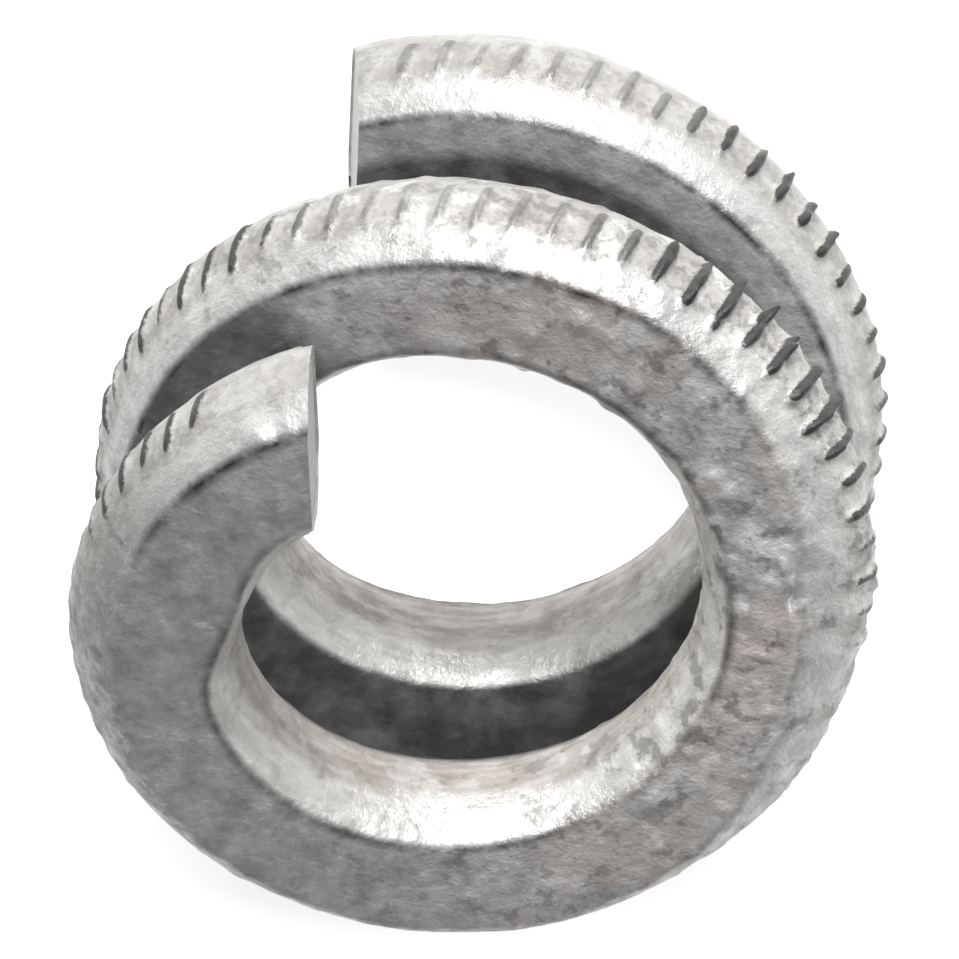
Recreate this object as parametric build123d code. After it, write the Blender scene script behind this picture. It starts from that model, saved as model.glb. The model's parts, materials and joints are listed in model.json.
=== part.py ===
from build123d import *
from math import acos, cos, degrees, radians, sin, sqrt
import os

# Double-coil spring lock washer. Lengths are in millimetres, angles in degrees.
# The coil is worked out with its axis along Z, and is then turned to the way it rests on a floor.

# Driving dimensions
bore_diameter = 25.0  # across the flat that the mandrel leaves inside
outside_diameter = 44.4  # across the crown of the outer wall
leaf_height = 8.4  # height of the flattened bar, along the coil's axis
outer_crown = 1.9  # how far the outer wall bulges past its edges
inner_crown = 1.8  # how far the inner wall bulges past its edges
mandrel_flat = 0.25  # depth that the mandrel presses into the inner crown
mandrel_seam = 83.0  # where the mandrel's seam line runs, a third of a turn from the ends
edge_round = 0.5  # rounding along the bar's edges
pitch = 14.8  # rise in one turn, left-handed
turns = 2

# Sheared ends: how far each cut is from the coil's axis, its turn about it and its lean
lower_cut_offset = 10.1
lower_cut_turn = 3.7
lower_cut_lean = 7.4
upper_cut_offset = 9.7
upper_cut_turn = 7.5
upper_cut_lean = 2.5

# Teeth of the feed roller, pressed straight across the outer wall's crown
mark_depth = 0.22
mark_radius = 0.35  # of a tooth's tip
mark_slant = 14.0  # from the coil's axis
mark_tilt = 5.0  # they sit a little above the crown's middle
mark_spacing = 5.5  # angle from one tooth to the next
smooth_end = 20.0  # angle left smooth at each end

# Sizes that follow from them
bore_radius = bore_diameter / 2
crown_radius = outside_diameter / 2
inner_edge = bore_radius + inner_crown
outer_edge = crown_radius - outer_crown
inner_peak = bore_radius - mandrel_flat
centre_radius = (inner_edge + outer_edge) / 2
wall_curve = (leaf_height**2 / 4 + outer_crown**2) / (2 * outer_crown)  # radius of the outer wall

# The bar is coiled a little too far at both ends, and sheared back to the cuts.
lower_start = -22.0  # angle at which the coil starts, below
upper_spare = 56.0  # how far past whole turns it runs, above
swept_angle = 360 * turns + upper_spare
coil_rise = pitch * swept_angle / 360
waste_length = 14.0  # of the block that each shear takes away


def bar_section():
    """Flattened round bar: flat above and below, with both walls crowned."""
    low, high = -leaf_height / 2, leaf_height / 2
    with BuildSketch(Plane.XZ) as section:
        with BuildLine():
            Line((inner_edge, low), (outer_edge, low))
            ThreePointArc((outer_edge, low), (crown_radius, 0), (outer_edge, high))
            Line((outer_edge, high), (inner_edge, high))
            ThreePointArc((inner_edge, high), (inner_peak, 0), (inner_edge, low))
        make_face()
        fillet(section.vertices(), edge_round)
    return section.sketch


def coiled_bar():
    """The bar wound left-handed from its lower end, with spare length at both ends."""
    path = Helix(pitch=pitch, height=coil_rise, radius=centre_radius, lefthand=True)
    bar = sweep(bar_section(), path=path, is_frenet=True)
    return Rot(0, 0, lower_start) * bar


def along_coil(swept):
    """The radial plane through the bar's middle, this far round the coil from its lower start."""
    return Rot(0, 0, lower_start - swept) * Pos(0, 0, pitch * swept / 360)


def mandrel():
    """Round bar that the coil is wound on. It sizes the bore."""
    length = coil_rise + 2 * leaf_height
    return Pos(0, 0, coil_rise / 2) * Rot(0, 0, mandrel_seam) * Cylinder(bore_radius, length)


def swept_to_cut(offset):
    """How far round the coil, in its first turn, the bar's middle meets a cut at this offset."""
    return lower_start + degrees(acos(offset / centre_radius))


def shear_blade(offset, turn, lean, whole_turns, side):
    """The waste past one end: a block with one face on the cut, and its bulk on the given side."""
    swept = swept_to_cut(offset) + 360 * whole_turns
    height = pitch * swept / 360
    depth = -sqrt(centre_radius**2 - offset**2)
    waste = Box(waste_length, crown_radius, pitch, align=(side, Align.CENTER, Align.CENTER))
    return Pos(offset, depth, height) * Rot(0, -lean, turn) * waste


def roller_marks():
    """One round-tipped tooth for each mark, laid across the crown of the outer wall."""
    lie = Pos(wall_curve + mark_radius - mark_depth, 0, 0) * Rot(mark_slant, 0, 0)
    tooth = lie * Cylinder(mark_radius, leaf_height)
    tooth = Pos(crown_radius - wall_curve, 0, 0) * Rot(0, -mark_tilt, 0) * tooth
    first = swept_to_cut(lower_cut_offset) + smooth_end
    last = swept_to_cut(upper_cut_offset) + 360 * turns - smooth_end
    count = int((last - first) / mark_spacing)
    return [along_coil(first + i * mark_spacing) * tooth for i in range(count + 1)]


def washer():
    """The marked bar with its bore sized and its ends sheared, upright on its axis."""
    solid = coiled_bar() - roller_marks()
    solid -= mandrel()
    solid -= shear_blade(lower_cut_offset, lower_cut_turn, lower_cut_lean, 0, Align.MIN)
    solid -= shear_blade(upper_cut_offset, upper_cut_turn, upper_cut_lean, turns, Align.MAX)
    return solid


def resting_tilt(solid):
    """Tilts about X and Y with which the solid stands steadily on its lower end.

    A body rests where its centre of mass is lowest, so the tilt is stepped downhill.
    """
    steps_along_edge = 240
    points = []
    for edge in solid.edges():
        points += [edge @ (i / steps_along_edge) for i in range(steps_along_edge + 1)]
    centre = solid.center(CenterOf.MASS)
    arms = [centre - point for point in points if point.Z < centre.Z]

    def height(tilt):
        up = Vector(0, 0, 1).rotate(Axis.X, tilt[0]).rotate(Axis.Y, tilt[1])
        return max(arm.dot(up) for arm in arms)

    headings = [radians(angle) for angle in range(0, 360, 20)]
    tilt, step = (0.0, 0.0), 8.0
    lowest = height(tilt)
    while step > 0.02:
        tries = [(tilt[0] + step * cos(a), tilt[1] + step * sin(a)) for a in headings]
        best = min(tries, key=height)
        if height(best) < lowest:
            tilt, lowest = best, height(best)
        else:
            step /= 2
    return tilt


def resting_place(solid):
    """The turn that lays the solid down as it rests, and the shift onto the origin."""
    tilt_x, tilt_y = resting_tilt(solid)
    turn = Rot(-tilt_x, 0, 0) * Rot(0, -tilt_y, 0)
    box = (turn * solid).bounding_box()
    return Pos(-box.center().X, -box.center().Y, -box.min.Z) * turn


upright = washer()
place = resting_place(upright)
spring_lock_washer = place * upright

os.makedirs("parts", exist_ok=True)
export_step(spring_lock_washer, "parts/spring_lock_washer.step")
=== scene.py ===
import json
from math import acos, asin, atan2, cos, degrees, hypot, pi, radians, sin, sqrt, tan

import bmesh
import bpy
from mathutils import Matrix, Vector, noise


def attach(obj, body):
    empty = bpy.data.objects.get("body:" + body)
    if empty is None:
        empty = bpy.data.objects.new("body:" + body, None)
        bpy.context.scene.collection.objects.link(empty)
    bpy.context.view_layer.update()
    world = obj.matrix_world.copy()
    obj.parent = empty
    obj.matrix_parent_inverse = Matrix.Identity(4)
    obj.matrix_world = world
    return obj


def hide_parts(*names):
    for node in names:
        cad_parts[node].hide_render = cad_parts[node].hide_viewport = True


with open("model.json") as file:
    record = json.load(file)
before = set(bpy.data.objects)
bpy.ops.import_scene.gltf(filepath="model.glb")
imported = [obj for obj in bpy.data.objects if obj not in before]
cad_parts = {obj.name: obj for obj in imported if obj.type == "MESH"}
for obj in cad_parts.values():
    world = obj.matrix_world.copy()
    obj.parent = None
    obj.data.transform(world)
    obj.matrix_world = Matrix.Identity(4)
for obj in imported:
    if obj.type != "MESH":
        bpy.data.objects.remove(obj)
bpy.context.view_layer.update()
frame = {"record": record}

# Lengths are in metres. The coil is made upright, with its axis along Z and the middle of its
# bore at the origin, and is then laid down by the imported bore's own place and lean.
MM = 0.001

# The flattened bar
leaf_height = 8.4 * MM  # along the coil's axis
crown_radius = 22.2 * MM  # outermost line of the outer wall
outer_crown = 1.9 * MM  # bulge of the outer wall past its edges
inner_crown = 1.8 * MM  # bulge of the inner wall past its edges

# The coil, left-handed. Swept angles are in degrees, counted up the coil from bar_start.
pitch = 14.8 * MM
turns = 2
bar_start = -22.0  # azimuth
start_depth = 15.572 * MM  # of the bar's middle there, below the middle of the bore

# Sheared ends: distance of each cut from the axis, its turn about the axis and its lean
lower_cut = (10.1 * MM, radians(3.7), radians(7.4))
upper_cut = (9.7 * MM, radians(7.5), radians(2.5))
sheared_edge = 0.14 * MM  # chamfer round the cuts
burr = 0.09 * MM  # turned up along the edge of the upper cut

# Roller marks across the outer crown. The first and the last leave the sheared ends smooth.
mark_spacing = 5.5
first_mark = 48.08
last_mark = 741.08
mark_slant = tan(radians(14))  # each leans back toward the lower end
mark_middle = 0.45 * MM  # above the crown
mark_reach = 1.7 * MM  # half its length
mark_half_width = 0.38 * MM
mark_depth = 0.3 * MM
mark_lip = 0.3  # raised beside each mark, as a share of its depth
torn_middle = 466  # where the marks are torn open

# Where the upper edges are worn round: middle and half of the stretch, as swept angles, and how
# far in the edge has moved
worn_outer_edge = [(512, 66, 2.2 * MM), (690, 70, 0.9 * MM)]
worn_inner_edge = [(709, 30, 1.2 * MM)]

# Knocks on the upper flat: swept angle, radius, size and depth in millimetres. A depth below 0
# is a lump.
knocks = [
    (432, 16.5, 1.3, 0.22),
    (440, 18.6, 1.1, 0.25),
    (452, 18.2, 0.7, -0.15),
    (485, 16.4, 1.5, 0.18),
    (502, 17.0, 0.9, -0.2),
    (508, 19.3, 1.0, -0.25),
    (529, 14.6, 1.2, 0.2),
    (649, 15.7, 0.8, 0.18),
    (707, 15.4, 0.6, 0.25),
    (717, 21.0, 0.6, -0.25),
    (751, 20.6, 1.1, 0.4),
    (746, 16.2, 0.8, 0.2),
]

bore = frame["record"]["mounts"][0]
bore_radius = bore["dims"]["r_mm"] * MM
inner_edge = bore_radius + inner_crown
outer_edge = crown_radius - outer_crown
centre_radius = (inner_edge + outer_edge) / 2


def coil_place():
    """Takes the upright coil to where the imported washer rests."""
    axis = Vector(bore["axis"])
    lean_x = atan2(axis.y, axis.z)
    lean_y = -asin(axis.x)
    turn = Matrix.Rotation(-lean_x, 4, "X") @ Matrix.Rotation(-lean_y, 4, "Y")
    return Matrix.Translation(bore["pos_m"]) @ turn


place = coil_place()


# ---------------------------------------------------------------- camera

def look_down_on_coil():
    """A long lens, above the washer and on its sheared side."""
    elevation = radians(53.88)
    roll = radians(187.33)
    distance = 452.4 * MM
    aim = Vector((-0.32 * MM, 1.495 * MM, 0))  # right and up in the view
    coil_middle = Vector((0, 0, 0.158 * MM))
    lens_to_width = 8.342  # focal length over the sensor's width
    turn = Matrix.Rotation(pi / 2 - elevation, 4, "X") @ Matrix.Rotation(roll, 4, "Z")
    data = bpy.data.cameras.new("camera")
    data.sensor_width = 36.0
    data.lens = data.sensor_width * lens_to_width
    data.clip_start = 0.01
    camera = bpy.data.objects.new("camera", data)
    back = Matrix.Translation(aim + Vector((0, 0, distance)))
    eye = Matrix.Translation(coil_middle) @ turn @ back
    camera.matrix_world = place @ eye
    bpy.context.scene.collection.objects.link(camera)
    bpy.context.scene.camera = camera


look_down_on_coil()


# ---------------------------------------------------------------- the coil's path

def middle_height(swept):
    """Height of the bar's middle, this far up the coil."""
    return pitch * swept / 360 - start_depth


def coil_point(swept, radius, height):
    """A place in the bar: how far up the coil, off the axis, and above the bar's middle."""
    azimuth = radians(bar_start - swept)
    return Vector((radius * cos(azimuth), radius * sin(azimuth), middle_height(swept) + height))


def bar_place(point):
    """The same place in the bar's own terms: swept angle, radius and height."""
    azimuth = degrees(atan2(point.y, point.x))
    swept = (bar_start - azimuth) % 360
    laps = round((point.z - middle_height(swept)) / pitch)
    swept += 360 * laps
    return swept, hypot(point.x, point.y), point.z - middle_height(swept)


def swept_to_cut(cut, whole_turns, radius, height):
    """How far up the coil a line along the bar meets a sheared end."""
    offset, turn, lean = cut
    square = Vector((cos(lean) * cos(turn), sin(turn), sin(lean) * cos(turn)))
    flat = hypot(square.x, square.y)
    heading = degrees(atan2(square.y, square.x))
    azimuth = -degrees(acos(offset / centre_radius))
    swept = bar_start - azimuth + 360 * whole_turns
    middle = coil_point(swept, centre_radius, 0)
    for _ in range(4):
        drop = middle_height(swept) + height
        across = (middle.dot(square) - square.z * drop) / (radius * flat)
        swept = bar_start - heading + degrees(acos(across)) + 360 * whole_turns
    return swept


# ---------------------------------------------------------------- the coiled leaf

flat_stops = (0.045, 0.35, 0.65, 0.955)  # points on each flat, before it is smoothed
wall_stops = (0.025, 0.2, 0.4, 0.6, 0.8, 0.975)  # and on each wall
row_spacing = mark_spacing / 2
row_gather = 0.55  # how closely the rows draw in to a mark, where 1 leaves them even
rows_before_marks = 6
rows_past_marks = 5
first_row = first_mark - rows_before_marks * row_spacing
last_row = last_mark + rows_past_marks * row_spacing


def wall_arc(height, bulge):
    """How far an arc wall stands past its edges, at a height from the bar's middle."""
    curve = (leaf_height**2 / 4 + bulge**2) / (2 * bulge)
    return sqrt(curve**2 - height**2) - (curve - bulge)


def bar_outline():
    """Radius and height of each point round the bar: one flat, the outer wall, the other flat
    and the inner wall."""
    half = leaf_height / 2
    width = outer_edge - inner_edge
    outline = [(inner_edge + width * stop, -half) for stop in flat_stops]
    for stop in wall_stops:
        height = leaf_height * stop - half
        outline.append((outer_edge + wall_arc(height, outer_crown), height))
    outline += [(outer_edge - width * stop, half) for stop in flat_stops]
    for stop in wall_stops:
        height = half - leaf_height * stop
        outline.append((inner_edge - wall_arc(height, inner_crown), height))
    return outline


def coil_the_bar():
    """The bar's outline spun up the helix in even rows, two to a roller mark, and smoothed."""
    outline = bar_outline()
    mesh = bmesh.new()
    ring = bmesh.ops.create_circle(mesh, segments=len(outline), radius=1)["verts"]
    for point, (radius, height) in zip(ring, outline):
        point.co = coil_point(first_row, radius, height)
    swept = last_row - first_row
    steps = round(swept / row_spacing)
    bmesh.ops.spin(
        mesh,
        geom=mesh.verts[:] + mesh.edges[:],
        cent=(0, 0, 0),
        axis=(0, 0, -1),
        dvec=(0, 0, pitch * row_spacing / 360),
        angle=radians(swept),
        steps=steps,
    )
    coarse = bpy.data.meshes.new("coarse_bar")
    mesh.to_mesh(coarse)
    mesh.free()
    bar = bpy.data.objects.new("coarse_bar", coarse)
    bpy.context.scene.collection.objects.link(bar)
    smooth = bar.modifiers.new("smooth", "SUBSURF")
    smooth.levels = smooth.render_levels = 2
    bpy.context.view_layer.update()
    ready = bar.evaluated_get(bpy.context.evaluated_depsgraph_get())
    mesh = bmesh.new()
    mesh.from_mesh(bpy.data.meshes.new_from_object(ready))
    bpy.data.objects.remove(bar)
    return mesh


def ease(share):
    """A smooth step from 0 to 1."""
    share = min(max(share, 0.0), 1.0)
    return share * share * (3 - 2 * share)


def swell(value, middle, half):
    """1 at the middle, falling smoothly to 0 at half a width away."""
    return ease(1 - abs(value - middle) / half)


def gather_rows(row):
    """Draws the rows in toward each roller mark, so that its sides are crisp."""
    share = (row - first_mark) / mark_spacing
    whole = round(share)
    share -= whole
    gathered = row_gather * share + 4 * (1 - row_gather) * share**3
    return first_mark + mark_spacing * (whole + gathered)


def slide_to_cut(row, radius, height):
    """Where along the coil a point lies, once the end rows are drawn onto the sheared faces."""
    if row < first_mark - row_spacing:
        hold = first_mark - row_spacing
        cut = swept_to_cut(lower_cut, 0, radius, height)
        return cut + (row - first_row) / (hold - first_row) * (hold - cut)
    outward = (radius - bore_radius) / (crown_radius - bore_radius)
    inner_hold, outer_hold = last_mark - 20, last_mark + 2  # the cut reaches further in the bore
    hold = inner_hold + (outer_hold - inner_hold) * outward
    if row > hold:
        cut = swept_to_cut(upper_cut, turns, radius, height)
        return cut - (last_row - row) / (last_row - hold) * (cut - hold)
    return row


def slant_of_marks(row, radius, height):
    """Leans the rows as the roller marks lean, on the outer wall and away from the ends."""
    outward = ease((radius - centre_radius) / (outer_edge - centre_radius))
    fade_in = (row - first_row) / (first_mark - first_row)
    fade_out = (last_row - row) / (last_row - last_mark)
    lean = -degrees(mark_slant * (height - mark_middle) / crown_radius)
    return lean * outward * min(fade_in, fade_out, 1)


def worn_section(swept, radius, height):
    """The bar isn't even: its upper edges are rounder and more ragged in places."""
    upper = max(height / leaf_height * 2, 0) ** 2
    outward = min(max((radius - centre_radius) / (outer_edge - centre_radius), 0), 1)
    inward = min(max((centre_radius - radius) / (centre_radius - inner_edge), 0), 1)
    shift = 0.0
    for middle, half, wear in worn_outer_edge:
        shift -= wear * swell(swept, middle, half) * outward
    for middle, half, wear in worn_inner_edge:
        shift -= wear * swell(swept, middle, half) * inward
    ragged = noise.noise(Vector((swept * 0.13, 5.3, 0))) * 0.7
    ragged += noise.noise(Vector((swept * 0.4, 2.1, 0))) * 0.3
    beaten = swell(swept, 512, 66) + 0.35 * swell(swept, 440, 50)
    shift += ragged * MM * beaten * outward
    return radius + shift * upper


def mark_press(row, height, swept):
    """How deep the roller's teeth press in at a row of points, from 0 to about 1.

    No two marks are alike: their length, height and depth vary, and some are torn or worn.
    """
    index = round((row - first_mark) / mark_spacing)
    if not first_mark - 1 < first_mark + index * mark_spacing < last_mark + 1:
        return 0.0
    uneven = noise.noise(Vector((index * 0.73, 3.1, 0)))
    shifted = noise.noise(Vector((index * 0.61, 7.7, 0))) * 0.5 * MM
    longer = 0.35 * swell(swept, torn_middle, 60) + 0.25 * swell(swept, 365, 50)
    reach = mark_reach * (1 + 0.35 * uneven + longer)
    along = abs(height - mark_middle - shifted) / reach
    if along > 1:
        return 0.0
    across = radians((gather_rows(row) - first_mark) - index * mark_spacing) * crown_radius
    press = max(1 - (across / mark_half_width) ** 2, 0)
    press -= mark_lip * swell(abs(across), 0.68 * MM, 0.34 * MM)
    torn = swell(swept, torn_middle, 42) + 0.6 * swell(swept, 110, 40)
    torn_through = 1 + 1.3 * torn * noise.noise(Vector((swept * 0.5, height / MM * 1.2, 4)))
    left_by_wear = 1 - 0.7 * ease((swept - 500) / 25) * ease((722 - swept) / 15)
    deep = (0.85 + 0.6 * uneven + 1.5 * torn) * torn_through * left_by_wear
    return press * ease(2.2 - 2.2 * along) * deep


def press_dents(swept, radius, height):
    """Depth of the knocks in the leaf."""
    depth = 0.0
    for knock_swept, knock_radius, knock_size, knock_depth in knocks:
        along = radians(swept - knock_swept) * knock_radius * MM
        away = hypot(along, radius - knock_radius * MM) / (knock_size * MM)
        if away < 1 and height > 0:
            depth += knock_depth * MM * ease(1 - away)
    return depth


def unevenness(point, swept):
    """Swells, ripple and pits of a hot-rolled bar, dipped in zinc. One side is more battered."""
    spot = point / MM
    battered = swell(swept, 500, 130)
    rise = noise.noise(spot * 0.13) * 0.16  # broad swells
    rise += noise.noise(spot * 0.42 + Vector((9, 2, 5))) * 0.05  # ripple
    rise += noise.noise(spot * 1.15 + Vector((4, 8, 1))) * 0.03  # grain
    rise += noise.noise(spot * 0.6 + Vector((3, 3, 7))) * 0.16 * battered  # blows
    pitted = max(noise.noise(spot * 0.8 + Vector((1, 6, 3))) - 0.3, 0)
    rise -= pitted * 0.6 * (0.25 + 0.75 * battered)
    return rise * MM


def finish_the_surface(mesh):
    """Puts every point of the smoothed bar in its finished place, and keeps where it lies."""
    lie = mesh.verts.layers.float_vector.new("bar_place")
    worn = mesh.verts.layers.float.new("pressed")
    rows = []
    for point in mesh.verts:
        row, radius, height = bar_place(point.co)
        gathered = gather_rows(row) if first_mark < row < last_mark else row
        swept = slide_to_cut(gathered, radius, height) + slant_of_marks(row, radius, height)
        point.co = coil_point(swept, worn_section(swept, radius, height), height)
        point[lie] = (swept, radius / MM, height / MM)
        rows.append(row)
    mesh.normal_update()
    moves = []
    for point, row in zip(mesh.verts, rows):
        swept, radius, height = point[lie]
        radius, height = radius * MM, height * MM
        from_end = min(row - first_row, last_row - row) / row_spacing
        press = mark_press(row, height, swept) if radius > outer_edge else 0.0
        point[worn] = press
        depth = press * mark_depth + press_dents(swept, radius, height)
        rise = unevenness(point.co, swept) * ease(from_end) - depth
        if last_row - row < row_spacing / 2:
            rise += burr * (1 + noise.noise(point.co / MM * 0.6))
        moves.append(point.normal * rise)
    for point, move in zip(mesh.verts, moves):
        point.co += move


def close_the_ends(mesh):
    """Caps both ends, with a small chamfer round each."""
    rims = [edge for edge in mesh.edges if edge.is_boundary]
    caps = bmesh.ops.edgeloop_fill(mesh, edges=rims)["faces"]
    for edge in rims:
        edge.smooth = False
    for cap in caps:
        ring = bmesh.ops.inset_region(
            mesh, faces=[cap], thickness=sheared_edge, depth=sheared_edge
        )
        cap.material_index = 1
        for face in ring["faces"]:
            face.material_index = 1


mesh = coil_the_bar()
finish_the_surface(mesh)
close_the_ends(mesh)
bmesh.ops.recalc_face_normals(mesh, faces=mesh.faces[:])
for vertex in mesh.verts:
    vertex.co = place @ vertex.co
data = bpy.data.meshes.new("coiled_leaf")
mesh.to_mesh(data)
mesh.free()
data.shade_smooth()
leaf = bpy.data.objects.new("coiled_leaf", data)
bpy.context.scene.collection.objects.link(leaf)
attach(leaf, "root")
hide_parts("spring_lock_washer")


# ---------------------------------------------------------------- finishes

# Zinc on the flats, on the walls and in the bore, and what lies on it, with painted highlights
# and painted shade among them
flat_dark = (0.42, 0.42, 0.42)
flat_pale = (0.74, 0.735, 0.73)
flat_brown = (0.68, 0.61, 0.575)
wall_dark = (0.44, 0.425, 0.4)
wall_pale = (0.6, 0.59, 0.565)
# painted highlight, near the walls' upper edges
wall_highlight = (0.72, 0.72, 0.71)
# painted shade, on the outer wall that faces away from the key light
wall_shade = (0.3, 0.295, 0.285)
bore_tan = (0.7, 0.66, 0.62)
# painted highlight, in the bore
bore_highlight = (0.88, 0.88, 0.86)
bore_lines = (0.37, 0.33, 0.29)
dark_fleck = (0.2, 0.19, 0.185)
bright_glint = (0.85, 0.84, 0.82)
# painted highlight, along the worn outer edge
worn_edge_highlight = (0.8, 0.8, 0.78)
scuff = (0.27, 0.255, 0.24)
# dirt in the roller marks, and painted shade in them, along the edges, low in the bore and in
# the gap
black_dirt_and_shade = (0.045, 0.045, 0.045)
sheared_dark = (0.42, 0.42, 0.41)
sheared_pale = (0.7, 0.7, 0.69)
zinc_metallic = 0.35  # part bare metal, part dull zinc


def add(tree, kind, **settings):
    """A new node, with its properties and its unlinked inputs set."""
    node = tree.nodes.new(kind)
    for name, value in settings.items():
        if hasattr(node, name):
            setattr(node, name, value)
        else:
            node.inputs[name.replace("_", " ")].default_value = value
    return node


def patches(tree, source, size, detail=4.0, roughness=0.6, low=0.35, high=0.65):
    """A mask of soft patches, their size in millimetres, that runs from 0 to 1."""
    pattern = add(
        tree, "ShaderNodeTexNoise", Scale=1 / (size * MM), Detail=detail, Roughness=roughness
    )
    tree.links.new(source, pattern.inputs["Vector"])
    return stretched(tree, pattern.outputs["Fac"], low, high)


def stretched(tree, value, low, high, to_low=0.0, to_high=1.0):
    """A value's run from low to high, made to run between two others, and held past both."""
    node = add(tree, "ShaderNodeMapRange", clamp=True)
    tree.links.new(value, node.inputs["Value"])
    ends = {"From Min": low, "From Max": high, "To Min": to_low, "To Max": to_high}
    for name, number in ends.items():
        node.inputs[name].default_value = number
    return node.outputs["Result"]


def combine(tree, operation, first, second):
    """Plain arithmetic on two values, either of which may be a number."""
    node = add(tree, "ShaderNodeMath", operation=operation)
    for socket, value in zip(node.inputs, (first, second)):
        if isinstance(value, (int, float)):
            socket.default_value = value
        else:
            tree.links.new(value, socket)
    return node.outputs[0]


def times(tree, *values):
    """The product of several values."""
    product = values[0]
    for value in values[1:]:
        product = combine(tree, "MULTIPLY", product, value)
    return product


def most(tree, *values):
    """The largest of several values."""
    largest = values[0]
    for value in values[1:]:
        largest = combine(tree, "MAXIMUM", largest, value)
    return largest


def around(tree, value, middle, near, far, at_middle, beyond):
    """One number within a near distance of a middle, easing to another at a far one."""
    away = combine(tree, "ABSOLUTE", combine(tree, "SUBTRACT", value, middle), 0)
    return stretched(tree, away, near, far, at_middle, beyond)


def tinted(tree, share, under, over):
    """A colour laid over another by a share from 0 to 1."""
    node = add(tree, "ShaderNodeMix", data_type="RGBA")
    tree.links.new(share, node.inputs["Factor"])
    for socket, value in zip((node.inputs[6], node.inputs[7]), (under, over)):
        if isinstance(value, tuple):
            socket.default_value = (*value, 1)
        else:
            tree.links.new(value, socket)
    return node.outputs[2]


def drawn_lines(tree, bar_place):
    """Fine lines that the rolls drew along the bar."""
    drawn = add(tree, "ShaderNodeMapping", Scale=(0.06, 1, 1))
    tree.links.new(bar_place, drawn.inputs["Vector"])
    lines = add(tree, "ShaderNodeTexNoise", Scale=1.1, Detail=4.0, Roughness=0.6)
    tree.links.new(drawn.outputs["Vector"], lines.inputs["Vector"])
    return stretched(tree, lines.outputs["Fac"], 0.4, 0.6)


def flat_zinc(tree, spot, mottle, swept):
    """Upper flats: grey, blotched with paler zinc, and browned on the battered side."""
    zinc = tinted(tree, mottle, flat_dark, flat_pale)
    browned = around(tree, swept, 505, 60, 110, 0.75, 0.12)
    browned = times(tree, patches(tree, spot, 6.0, 3.0, 0.5, 0.38, 0.56), browned)
    return tinted(tree, browned, zinc, flat_brown)


def wall_zinc(tree, mottle, lines, swept, radius, height):
    """Walls: a painted highlight near their upper edges, painted shade on one stretch of the
    outer wall, and tan in the bore with a painted highlight there too.
    """
    zinc = tinted(tree, mottle, wall_dark, wall_pale)
    # Painted highlight: a pale band near the upper edges of the walls
    highlight_band = times(tree, stretched(tree, height, 1.8, 2.9), 0.8)
    zinc = tinted(tree, highlight_band, zinc, wall_highlight)
    # Painted shade on the stretch of outer wall that faces away from the key light
    shaded_stretch = around(tree, swept, 655, 60, 85, 0.7, 0)
    outside = stretched(tree, radius, 17, 20)
    zinc = tinted(tree, times(tree, shaded_stretch, outside), zinc, wall_shade)
    inside = stretched(tree, radius, 14.6, 14.2)
    zinc = tinted(tree, times(tree, inside, 0.6), zinc, bore_tan)
    # Painted highlight in the bore, with the drawn lines fainter under it
    bore_highlight_band = times(tree, stretched(tree, height, 0.8, 2.2), inside)
    zinc = tinted(tree, times(tree, bore_highlight_band, 0.8), zinc, bore_highlight)
    lines = times(tree, lines, stretched(tree, inside, 0, 1, 0.15, 0.7))
    lines = times(tree, lines, stretched(tree, bore_highlight_band, 0, 1, 1, 0.5))
    return tinted(tree, lines, zinc, bore_lines)


def battered_zinc(tree, zinc, spot, swept, radius, height):
    """Dark flecks and bright glints, most of them on the battered side, and a painted highlight
    along its worn outer edge."""
    battered = around(tree, swept, 490, 60, 170, 1, 0.35)
    flecks = times(tree, patches(tree, spot, 1.6, 4.0, 0.6, 0.56, 0.62), battered, 0.6)
    zinc = tinted(tree, flecks, zinc, dark_fleck)
    glints = times(tree, patches(tree, spot, 2.0, 3.0, 0.5, 0.57, 0.63), battered, 0.6)
    zinc = tinted(tree, glints, zinc, bright_glint)
    # Painted highlight along the worn outer edge
    edge_highlight = times(
        tree,
        stretched(tree, radius, 18.6, 19.8),
        around(tree, swept, 512, 40, 66, 0.8, 0),
        stretched(tree, height, 0.6, 2.2),
        patches(tree, spot, 2.6, 3.0, 0.5, 0.42, 0.56),
    )
    return tinted(tree, edge_highlight, zinc, worn_edge_highlight)


def scuffed_band(tree, zinc, spot, swept, radius, height):
    """Scuffs over the band that the feed roller ran on."""
    band = times(
        tree,
        stretched(tree, height, -1.6, -0.9),
        stretched(tree, height, 2.0, 2.7, 1, 0),
        stretched(tree, radius, 20, 21),
    )
    scuffs = patches(tree, spot, 1.5, 5.0, 0.75, 0.48, 0.6)
    scuffs = times(tree, band, scuffs, around(tree, swept, 470, 20, 60, 0.95, 0.55))
    return tinted(tree, scuffs, zinc, scuff)


def marks_dirt_and_shade(tree, spot, swept):
    """The roller marks, dark with dirt and painted shade in their hollows, with torn borders.
    Two stretches are nearly clear of it.
    """
    pressed = add(tree, "ShaderNodeAttribute", attribute_name="pressed").outputs["Fac"]
    torn = times(tree, patches(tree, spot, 0.8, 4.0, 0.75, 0.35, 0.65), 0.5)
    # Dirt and painted shade in the hollows of the marks
    dirt_and_shade = stretched(tree, combine(tree, "SUBTRACT", pressed, torn), 0.0, 0.34, 0, 0.97)
    for clean_middle in (66, 419):
        dirt_and_shade = times(tree, dirt_and_shade, around(tree, swept, clean_middle, 16, 30, 0.4, 1))
    return dirt_and_shade


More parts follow.
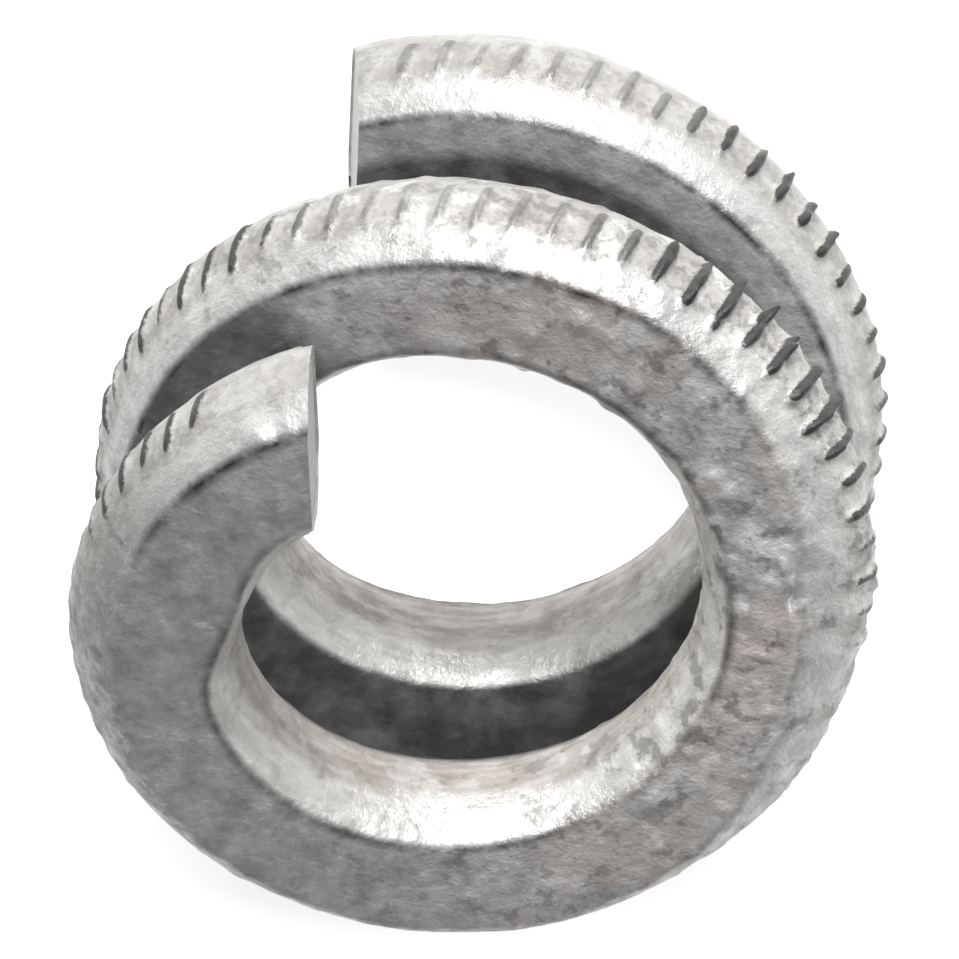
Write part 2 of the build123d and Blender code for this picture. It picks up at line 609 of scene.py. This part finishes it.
def painted_shade_along_edges(tree, spot, swept, radius, height):
    """Painted shade: dark lines along both edges of the upper flats, the inner one round the
    bore, broken where the edge is worn.
    """
    from_outer = combine(tree, "SUBTRACT", outer_edge / MM, radius)
    outer_line = times(
        tree,
        stretched(tree, from_outer, 0.15, 0.7, 1, 0),
        around(tree, swept, 640, 70, 90, 0, 1),
        around(tree, swept, 515, 35, 60, 0.35, 1),
    )
    from_inner = combine(tree, "SUBTRACT", radius, inner_edge / MM)
    line = most(tree, outer_line, stretched(tree, from_inner, 0.1, 0.6, 0.8, 0))
    on_flat = stretched(tree, height, 3.85, 4.1)
    return times(tree, line, on_flat, patches(tree, spot, 5.0, 4.0, 0.7, 0.3, 0.58))


def painted_shade_in_gap(tree, spot, swept, radius, height):
    """Painted shade on the flat that the next turn covers, darkest deep in the gap and over the
    whole flat on the far side, with painted shadow under the upper end.
    """
    reach = around(tree, swept, 245, 60, 110, 20.5, 17.8)
    deep = stretched(tree, combine(tree, "SUBTRACT", reach, radius), -0.5, 0.5, 0.3, 0.92)
    # Painted shadow under the upper end
    under_end = times(tree, stretched(tree, swept, 335, 350), 0.82)
    lumps = patches(tree, spot, 2.4, 3.0, 0.5, 0.4, 0.66)
    return times(
        tree,
        most(tree, deep, under_end),
        stretched(tree, height, 3.9, 4.1),
        stretched(tree, swept, 384, 392, 1, 0),
        stretched(tree, lumps, 0, 1, 1.0, 0.78),
    )


def coiled_steel():
    """Zinc-dipped spring steel: pale walls with painted highlights, mottled flats, roller marks
    dark with dirt and painted shade, and painted shade along edges, low in the bore and in the
    gap.

    Heights and radii are in millimetres, in the bar's own terms.
    """
    material = bpy.data.materials.new("coiled_steel")
    material.use_nodes = True
    tree = material.node_tree
    shader = tree.nodes["Principled BSDF"]
    spot = add(tree, "ShaderNodeTexCoord").outputs["Object"]
    bar_place = add(tree, "ShaderNodeAttribute", attribute_name="bar_place").outputs["Vector"]
    lie = add(tree, "ShaderNodeSeparateXYZ")
    tree.links.new(bar_place, lie.inputs[0])
    swept, radius, height = lie.outputs

    mottle = patches(tree, spot, 2.2, 5.0, 0.65, 0.36, 0.64)
    lines = drawn_lines(tree, bar_place)
    off_the_flat = stretched(tree, height, 3.75, 4.05, 1, 0)
    zinc = tinted(
        tree,
        off_the_flat,
        flat_zinc(tree, spot, mottle, swept),
        wall_zinc(tree, mottle, lines, swept, radius, height),
    )
    zinc = battered_zinc(tree, zinc, spot, swept, radius, height)
    zinc = scuffed_band(tree, zinc, spot, swept, radius, height)
    # Painted shade low on the bore's wall
    painted_shade_in_bore = times(
        tree, stretched(tree, height, -1.8, -3.0), stretched(tree, radius, 14.4, 14.6, 1, 0)
    )
    # Dirt and painted shade, all laid on as near-black
    dirt_and_shade = most(
        tree,
        marks_dirt_and_shade(tree, spot, swept),
        painted_shade_along_edges(tree, spot, swept, radius, height),
        painted_shade_in_bore,
        painted_shade_in_gap(tree, spot, swept, radius, height),
    )
    tree.links.new(tinted(tree, dirt_and_shade, zinc, black_dirt_and_shade), shader.inputs["Base Color"])

    rough = stretched(tree, patches(tree, spot, 1.3, 5.0, 0.7, 0.4, 0.6), 0, 1, 0.28, 0.55)
    tree.links.new(rough, shader.inputs["Roughness"])
    shader.inputs["Metallic"].default_value = zinc_metallic
    bump = add(tree, "ShaderNodeBump", Strength=0.7, Distance=0.16 * MM)
    tree.links.new(patches(tree, spot, 0.9, 5.0, 0.65, 0.2, 0.8), bump.inputs["Height"])
    tree.links.new(bump.outputs["Normal"], shader.inputs["Normal"])
    return material


def sheared_steel():
    """The cut ends: grey steel, dragged by the blade, with a little zinc over it."""
    material = bpy.data.materials.new("sheared_steel")
    material.use_nodes = True
    tree = material.node_tree
    shader = tree.nodes["Principled BSDF"]
    spot = add(tree, "ShaderNodeTexCoord").outputs["Object"]
    drawn = add(tree, "ShaderNodeMapping", Scale=(1, 1, 0.2))
    tree.links.new(spot, drawn.inputs["Vector"])
    mottle = patches(tree, drawn.outputs["Vector"], 1.0, 5.0, 0.65, 0.35, 0.65)
    colour = tinted(tree, mottle, sheared_dark, sheared_pale)
    tree.links.new(colour, shader.inputs["Base Color"])
    tree.links.new(stretched(tree, mottle, 0, 1, 0.35, 0.6), shader.inputs["Roughness"])
    shader.inputs["Metallic"].default_value = zinc_metallic
    bump = add(tree, "ShaderNodeBump", Strength=0.7, Distance=0.12 * MM)
    tree.links.new(mottle, bump.inputs["Height"])
    tree.links.new(bump.outputs["Normal"], shader.inputs["Normal"])
    return material


data.materials.append(coiled_steel())
data.materials.append(sheared_steel())


# ---------------------------------------------------------------- floor and light

def plain_floor():
    """White to the eye and in reflections, with the washer's soft shadow left on it."""
    bpy.ops.mesh.primitive_plane_add(size=6.0)
    floor = bpy.context.object
    floor.name = "floor"
    material = bpy.data.materials.new("floor_white")
    material.use_nodes = True
    tree = material.node_tree
    tree.nodes.clear()
    seen = add(tree, "ShaderNodeLightPath").outputs
    rays = most(
        tree, seen["Is Camera Ray"], seen["Is Glossy Ray"], seen["Is Transmission Ray"]
    )
    white = add(tree, "ShaderNodeEmission")
    tree.links.new(times(tree, rays, 0.8), white.inputs["Strength"])
    matte = add(tree, "ShaderNodeBsdfDiffuse", Color=(0.8, 0.8, 0.8, 1))
    both = add(tree, "ShaderNodeAddShader")
    tree.links.new(matte.outputs[0], both.inputs[0])
    tree.links.new(white.outputs[0], both.inputs[1])
    out = add(tree, "ShaderNodeOutputMaterial")
    tree.links.new(both.outputs[0], out.inputs["Surface"])
    floor.data.materials.append(material)


def soft_light(name, place_at, aim_at, size, power):
    """A rectangular lamp, turned to face a point."""
    data = bpy.data.lights.new(name, "AREA")
    data.shape = "RECTANGLE"
    data.size, data.size_y = size
    data.energy = power
    lamp = bpy.data.objects.new(name, data)
    lamp.location = place_at
    lamp.rotation_euler = (Vector(aim_at) - Vector(place_at)).to_track_quat("-Z", "Y").to_euler()
    bpy.context.scene.collection.objects.link(lamp)


def studio_light():
    """A low, even world, a key in front of the washer and a fill above it."""
    world = bpy.data.worlds.new("studio")
    bpy.context.scene.world = world
    world.use_nodes = True
    world.node_tree.nodes["Background"].inputs["Color"].default_value = (1, 1, 1, 1)
    world.node_tree.nodes["Background"].inputs["Strength"].default_value = 0.08
    washer_middle = (0, 0, 0.015)
    soft_light("key", (0.03, -0.66, 0.40), washer_middle, (0.34, 0.12), 5.0)
    soft_light("fill", (-0.05, -0.40, 0.62), washer_middle, (0.3, 0.3), 2.6)


plain_floor()
studio_light()
bpy.context.scene.view_settings.view_transform = "Standard"
